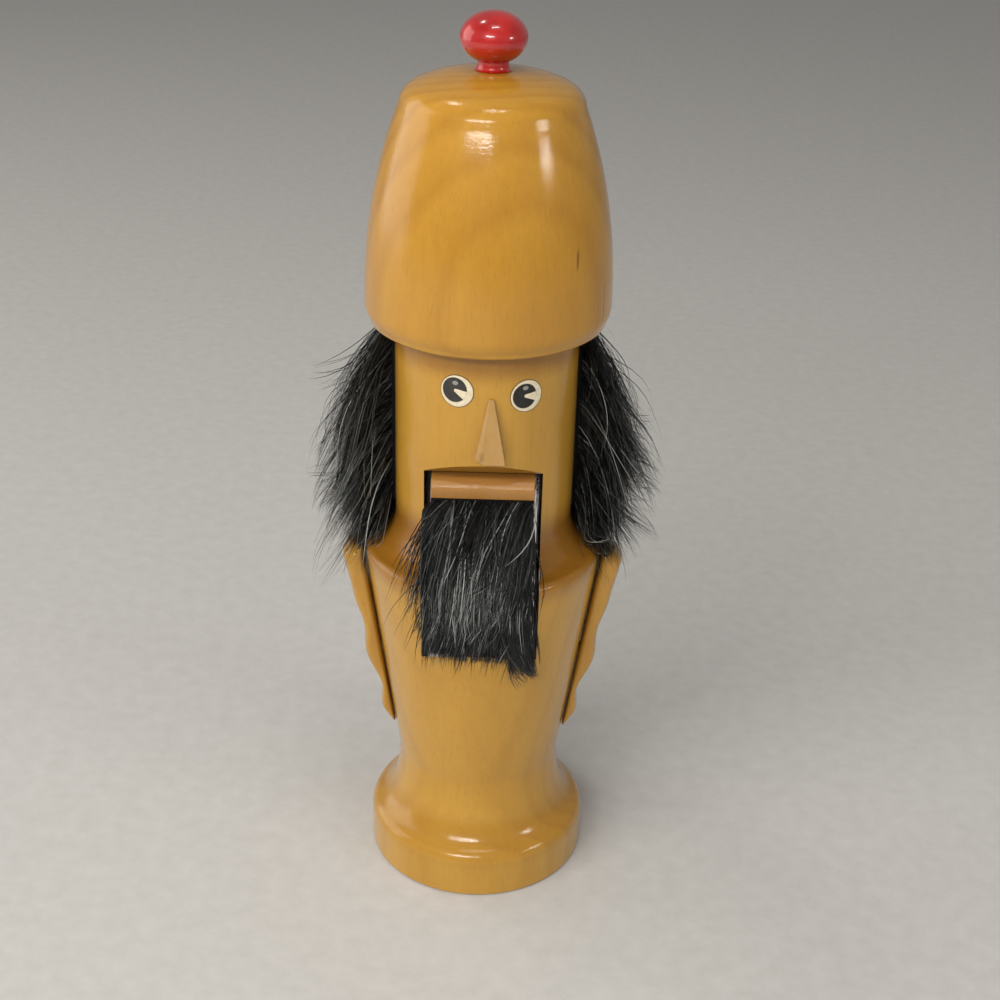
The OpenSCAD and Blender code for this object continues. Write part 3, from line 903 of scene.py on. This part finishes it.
def make_eye(name, node, notch_angle, iris_y, iris_tone):
    """A thin printed disc that follows the round of the head."""
    low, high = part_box(node)
    centre = (low + high) / 2
    radius = (high.z - low.z) / 2
    turn = math.atan2(centre.x, -centre.y)
    rings, around = 10, 64
    angles = [2 * math.pi * k / around for k in range(around)]
    grid = [(0.0, 0.0)]
    for i in range(1, rings + 1):
        grid += [(i / rings * math.cos(a), i / rings * math.sin(a)) for a in angles]

    def place(u, v, lift):
        across = u * radius
        depth = math.sqrt(HEAD_R ** 2 - across ** 2) + lift
        return (across * math.cos(turn) + depth * math.sin(turn),
                across * math.sin(turn) - depth * math.cos(turn), centre.z + v * radius)

    edge_drop = 0.12 * MM
    top = [place(u, v, EYE_T - (edge_drop if math.hypot(u, v) > 0.95 else 0)) for u, v in grid]
    foot = [place(u, v, 0.0) for u, v in grid[-around:]]
    faces = [(0, 1 + (k + 1) % around, 1 + k) for k in range(around)]
    for i in range(rings - 1):
        a, b = 1 + i * around, 1 + (i + 1) * around
        faces += [(a + k, a + (k + 1) % around, b + (k + 1) % around, b + k) for k in range(around)]
    last, base = 1 + (rings - 1) * around, len(top)
    faces += [(last + k, last + (k + 1) % around, base + (k + 1) % around, base + k) for k in range(around)]
    faces.append(tuple(base + k for k in range(around)))
    eye = mesh_from(name, top + foot, faces)
    chart = eye.data.uv_layers.new(name="chart")
    places = grid + grid[-around:]
    for loop in eye.data.loops:
        chart.data[loop.index].uv = places[loop.vertex_index]
    fix_normals(eye)
    smooth(eye, 60)
    eye.data.materials.append(eye_print(name + "_print", notch_angle, iris_y, iris_tone))
    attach(eye, "figure")
    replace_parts(eye, node)


make_body()
make_hat()
make_knob()
make_lever()
make_nose()
make_arm("carved_left_arm", "left_arm", 1)
make_arm("carved_right_arm", "right_arm", -1)
make_eye("printed_right_eye", "right_eye", -25, 0.075, (0.020, 0.018, 0.016))
make_eye("printed_left_eye", "left_eye", -7, 0.01, (0.006, 0.006, 0.005))
finish_cad()


# ---- fur
HAIR_END = 91
BEARD_FALL = (-0.17, 0, -1.0)
STRAND_STEPS = 8
SKIN_GAP = 0.3 * MM
TURNED = np.array(body_outline()[1:-1])
FUR = fur()
rng = np.random.default_rng(1907)


def unit(v):
    return v / np.maximum(np.linalg.norm(v, axis=-1, keepdims=True), 1e-9)


def wood_radius(z):
    """Radius of the turned body at each height."""
    zs, rs = TURNED[:, 1], TURNED[:, 0]
    return np.interp(z, zs, rs)


def strand_paths(roots, heading, length, droop, wave, fall=(0, 0, -1.0)):
    """Strands' centre lines. Each starts along its heading and bends towards fall by its droop."""
    count, steps = len(roots), STRAND_STEPS
    paths = np.zeros((count, steps + 1, 3))
    paths[:, 0] = roots
    direction = unit(heading)
    swing = rng.normal(0, 1, (count, 3)) * wave[:, None]
    phase = rng.uniform(0, 2 * np.pi, count)
    for k in range(steps):
        sway = swing * np.cos(phase + 5.0 * k / steps)[:, None]
        direction = unit(direction + (np.array(fall) * droop[:, None] + sway) / steps)
        paths[:, k + 1] = paths[:, k] + direction * (length / steps)[:, None]
    return paths


def clump(paths, roots, lock_of, lock_paths, lock_roots, strength, taper):
    """Pulls each strand towards its lock's middle line, more and more towards the tip."""
    share = (np.arange(STRAND_STEPS + 1) / STRAND_STEPS)[None, :, None]
    spread = (roots - lock_roots[lock_of])[:, None, :] * (1 - taper * share)
    target = lock_paths[lock_of] + spread
    pull = strength[:, None, None] * share ** 1.1
    return paths * (1 - pull) + target * pull


def ribbons(name, paths, facing, tone):
    """One mesh of thin tapering ribbons. tone is each strand's place on the fur's tone ramp."""
    count, rings = paths.shape[0], paths.shape[1]
    width = rng.uniform(0.18, 0.33, count) * MM
    along = np.linspace(0, 1, rings)
    tangent = unit(np.gradient(paths, axis=1))
    side = unit(np.cross(tangent, facing[:, None, :]))
    profile = np.clip(1.12 - along ** 2.4, 0.06, 1.0)
    half = width[:, None, None] * profile[None, :, None] / 2
    points = np.stack([paths - side * half, paths + side * half], axis=2).reshape(-1, 3)
    first = (np.arange(count)[:, None] * rings + np.arange(rings - 1)[None, :]).reshape(-1) * 2
    quads = np.stack([first, first + 1, first + 3, first + 2], axis=1).astype(np.int32)
    mesh = bpy.data.meshes.new(name)
    mesh.vertices.add(len(points))
    mesh.vertices.foreach_set("co", points.astype(np.float32).ravel())
    mesh.loops.add(quads.size)
    mesh.loops.foreach_set("vertex_index", quads.ravel())
    mesh.polygons.add(len(quads))
    mesh.polygons.foreach_set("loop_start", np.arange(0, quads.size, 4, dtype=np.int32))
    mesh.polygons.foreach_set("loop_total", np.full(len(quads), 4, dtype=np.int32))
    mesh.update(calc_edges=True)
    chart_strands(mesh, quads.ravel(), along, tone)
    mesh.polygons.foreach_set("use_smooth", np.ones(len(quads), dtype=bool))
    mesh.validate()
    return new_object(name, mesh)


def chart_strands(mesh, corners, along, tone):
    """The map that the fur material reads: tone across, root to tip along."""
    rings = len(along)
    half_step = 0.004
    lean = np.where(corners % 2 == 0, -half_step, half_step)
    u = np.clip(tone[corners // (2 * rings)] + lean, 0.002, 0.998)
    v = 0.01 + 0.98 * along[(corners % (2 * rings)) // 2]
    chart = mesh.uv_layers.new(name="OFBake")
    chart.data.foreach_set("uv", np.stack([u, v], axis=1).astype(np.float32).ravel())


def keep_outside(paths, margin):
    """Pushes points out of the turned wood."""
    radial = np.linalg.norm(paths[..., :2], axis=-1)
    least = wood_radius(paths[..., 2]) + margin
    scale = np.where(radial < least, least / np.maximum(radial, 1e-6), 1.0)
    paths[..., :2] *= scale[..., None]
    return paths


def hold_within(paths, free, extra):
    """Draws far points in, so that none lies further from the axis than free + extra."""
    radial = np.linalg.norm(paths[..., :2], axis=-1)
    drawn = free + extra * np.tanh((radial - free) / extra)
    paths[..., :2] *= np.where(radial > free, drawn / np.maximum(radial, 1e-6), 1.0)[..., None]


def hold_behind(paths, free, extra):
    """Draws far points back, so that none lies further forward than free + extra."""
    ahead = -paths[..., 1]
    paths[..., 1] = np.where(ahead > free, -(free + extra * np.tanh((ahead - free) / extra)), paths[..., 1])


def shorten(paths, chosen, hem):
    """Shortens the chosen strands so that none hangs below its hem."""
    root, tip = paths[:, 0, 2], paths[..., 2].min(axis=1)
    share = np.where(chosen & (tip < hem), (root - hem) / np.maximum(root - tip, 1e-6), 1.0)
    paths[:] = paths[:, :1] + (paths - paths[:, :1]) * np.clip(share, 0.12, 1)[:, None, None]


def gather(paths, chosen, tip):
    """Draws the chosen strands towards one tip, into a pointed tuft."""
    share = np.linspace(0, 1, paths.shape[1])[None, :, None] ** 2
    pull = rng.uniform(0.35, 0.85, len(paths))[:, None, None] * share * chosen[:, None, None]
    paths += pull * (tip - paths)


def tuck_in(paths, tuck):
    """Keeps the tucked strands between the slot's walls, and shortens those that would pass its lip."""
    wall = SLOT_HALF - 0.25 * MM
    paths[..., 0] = np.where(tuck[:, None], np.clip(paths[..., 0], -wall, wall), paths[..., 0])
    sag = 1.6 * MM * np.clip(paths[:, 0, 0] / SLOT_HALF, 0, 1)
    shorten(paths, tuck, LIP_Z - sag + rng.uniform(-2.2, 0.9, len(paths)) * MM)


def tones(count, grey, silver):
    """Mostly black strands, a share of grey ones and a few silver guard hairs."""
    pick = rng.uniform(0, 1, count)
    tone = rng.uniform(0.02, 0.56, count)
    tone = np.where(pick < grey + silver, rng.uniform(0.55, 0.84, count), tone)
    return np.where(pick < silver, rng.uniform(0.88, 0.99, count), tone)


def scatter_hair(n, start, end):
    """Angle, height and outward direction of n roots on the backing, between two angles."""
    angle = np.radians(rng.uniform(start, end, n))
    z = strip_low.z + (strip_high.z - strip_low.z) * rng.uniform(0, 1, n) ** 0.9
    return angle, z, np.stack([np.sin(angle), np.cos(angle), np.zeros(n)], axis=1)


def comb_hair(angle, z, out, spread):
    """Heading, length and droop. The hair is fullest over the ears, and its front edges lean forward."""
    n = len(z)
    height = (z - strip_low.z) / (strip_high.z - strip_low.z)
    side = np.stack([np.cos(angle), -np.sin(angle), np.zeros(n)], axis=1)
    puff = np.exp(-((height - 0.6) / 0.33) ** 2)
    heading = out * (0.34 + 0.42 * puff + rng.normal(0, 0.14 * spread, n))[:, None]
    edge = np.exp(-((np.abs(np.degrees(angle)) - HAIR_END) / 16) ** 2)
    edge *= 0.35 + 0.65 * np.exp(-((height / 0.35) ** 2))
    heading += side * (np.sign(angle) * 0.32 * edge + rng.normal(0, 0.24 * spread, n))[:, None]
    heading[:, 2] -= 0.50 + rng.normal(0, 0.12 * spread, n)
    length = (30 + 9 * height + rng.normal(0, 4.5 * spread, n)) * MM
    droop = 1.2 + 0.9 * height + rng.normal(0, 0.6 * spread, n)
    stray = rng.uniform(0, 1, n) < 0.03
    length += stray * 6 * MM
    droop -= stray * 0.9
    return heading, np.clip(length, 8 * MM, 50 * MM), np.clip(droop, -0.3, 3.5)


def hair_roots(z, out):
    return out * strip_high.x + np.array([0, 0, 1]) * z[:, None]


def lay_hair(start, end, count, locks):
    """Outward directions and centre lines of the hair's strands, drawn into locks."""
    lock_angle, lock_z, lock_out = scatter_hair(locks, start, end)
    lock_roots = hair_roots(lock_z, lock_out)
    combed = comb_hair(lock_angle, lock_z, lock_out, 1.5)
    lock_paths = strand_paths(lock_roots, *combed, np.full(locks, 0.5))
    angle, z, out = scatter_hair(count, start, end)
    roots = hair_roots(z, out)
    paths = strand_paths(roots, *comb_hair(angle, z, out, 1.0), rng.uniform(0.1, 0.9, count))
    away = ((np.degrees(angle)[:, None] - np.degrees(lock_angle)[None]) * 0.5) ** 2 + (
        (z[:, None] - lock_z[None]) / MM * 0.8) ** 2
    strength = rng.uniform(0.25, 0.95, count)
    return out, clump(paths, roots, away.argmin(1), lock_paths, lock_roots, strength, 0.75)


def make_hair(name, start, end, count, locks, grey, silver):
    """Hair between two angles, in degrees from straight behind, positive towards +X."""
    out, paths = lay_hair(start, end, count, locks)
    keep_outside(paths, SKIN_GAP)
    hold_within(paths, 47 * MM, 9 * MM)
    near = np.abs(paths[..., 0]).min(axis=1) < lever_high.x + 0.5 * MM
    over_handle = near & (paths[:, -1, 1] > 0)
    shorten(paths, over_handle, hair_low.z + rng.uniform(0.5, 6.0, count) * MM)
    paths[..., 2] = np.minimum(paths[..., 2], HEAD_TOP - 0.4 * MM)
    facing = unit(out + rng.normal(0, 0.5, (count, 3)))
    piece = ribbons(name, paths, facing, tones(count, grey, silver))
    piece.data.materials.append(FUR)
    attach(piece, "figure")
    return piece


def beard_height(z):
    """Share of the way up the jaw's backing."""
    return (z - backing_low.z) / (backing_high.z - backing_low.z)


def scatter_beard(n):
    """n roots on the jaw's backing."""
    x = rng.uniform(backing_low.x, backing_high.x, n)
    z = backing_low.z + (backing_high.z - backing_low.z) * rng.uniform(0, 1, n) ** 1.05
    return np.stack([x, np.full(n, backing_low.y), z], axis=1)


def comb_beard(roots, spread):
    """Heading, length and droop. The top row stands up a little, and a few strays fall to the side."""
    n = len(roots)
    height = beard_height(roots[:, 2])
    across = roots[:, 0] / backing_high.x
    top_row = np.exp(-((1 - height) / 0.05) ** 2)
    heading = np.zeros((n, 3))
    heading[:, 0] = 0.12 * across - 0.32 + rng.normal(0, 0.22 * spread, n)
    heading[:, 1] = -0.62 + rng.normal(0, 0.14 * spread, n)
    heading[:, 2] = -0.62 + rng.normal(0, 0.12 * spread, n) + 0.5 * top_row
    length = (12 + 17 * height + rng.normal(0, 3.0 * spread, n)) * MM
    droop = 2.2 + rng.normal(0, 0.6 * spread, n)
    stray = (rng.uniform(0, 1, n) < 0.03) & (across < -0.2) & (height > 0.2) & (height < 0.8)
    heading[:, 0] -= stray * 0.70
    droop -= stray * 0.7
    length += stray * 4 * MM
    return heading, np.clip(length, 6 * MM, 38 * MM), np.clip(droop, 0.3, 4)


def lay_beard(count, locks):
    """Roots and centre lines of the beard's strands, drawn into locks."""
    lock_roots = scatter_beard(locks)
    lock_paths = strand_paths(lock_roots, *comb_beard(lock_roots, 1.6), np.full(locks, 0.6), BEARD_FALL)
    roots = scatter_beard(count)
    paths = strand_paths(roots, *comb_beard(roots, 1.0), rng.uniform(0.1, 1.1, count), BEARD_FALL)
    away = ((roots[:, None, 0] - lock_roots[None, :, 0]) / MM) ** 2 + (
        (roots[:, None, 2] - lock_roots[None, :, 2]) / MM * 0.6) ** 2
    strength = rng.uniform(0.1, 0.85, count)
    return roots, clump(paths, roots, away.argmin(1), lock_paths, lock_roots, strength, 0.7)


def uppermost(paths):
    """True for the strands that lie on top of the pile."""
    middle = paths[:, paths.shape[1] // 2 + 1]
    reach = -middle[:, 1]
    level = np.polyval(np.polyfit(middle[:, 2], reach, 2), middle[:, 2])
    return reach > level + 0.6 * (reach - level).std()


def beard_tones(paths, tuft):
    """Greyest where strands on top of the pile end a little above the lip, and black in the tuft. This grey
    is partly grey fur and partly painted sheen on the top of the pile.
    """
    tips = paths[:, -1]
    across = (tips[:, 0] + 5 * MM) / (12 * MM)
    up = (tips[:, 2] - LIP_Z - 15 * MM) / (12 * MM)
    # Painted sheen mixed with grey strands: lighter tones for strands on top of the pile, left of the
    # middle.
    grey_and_sheen = np.exp(-across ** 2 - up ** 2) * (~tuft & uppermost(paths))
    return tones(len(paths), 0.06 + 0.58 * grey_and_sheen, 0.008 + 0.20 * grey_and_sheen)


def make_beard(name, count, locks):
    """The beard grows from the jaw, falls a little to one side, fills the slot and hangs over its lip."""
    roots, paths = lay_beard(count, locks)
    tuft = (roots[:, 0] > 0.5 * backing_high.x) & (beard_height(roots[:, 2]) < 0.5)
    tuft &= rng.uniform(0, 1, count) < 0.45
    gather(paths, tuft, np.array([SLOT_HALF + 1.5 * MM, -trunk_r(LIP_Z) - 2.5 * MM, LIP_Z - 6.5 * MM]))
    tuck_in(paths, ~tuft & (rng.uniform(0, 1, count) > 0.09))
    outside = (np.abs(paths[..., 0]) > SLOT_HALF) | (paths[..., 2] < LIP_Z + 0.4 * MM)
    pushed = keep_outside(paths.copy(), SKIN_GAP)
    paths = np.where(outside[..., None], pushed, paths)
    hold_behind(paths, 43 * MM, 5 * MM)
    facing = unit(np.array([0, -1.0, 0.2]) + rng.normal(0, 0.45, (count, 3)))
    piece = ribbons(name, paths, facing, beard_tones(paths, tuft))
    piece.data.materials.append(FUR)
    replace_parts(piece, "beard")
    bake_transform(piece)


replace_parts(make_hair("hair_right_side", -HAIR_END, -40, 11000, 420, 0.32, 0.13), "hair")
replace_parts(make_hair("hair_behind", -42, 42, 12000, 520, 0.24, 0.07), "hair")
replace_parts(make_hair("hair_left_side", 40, HAIR_END, 11000, 420, 0.18, 0.04), "hair")
make_beard("beard_pile", 12000, 300)
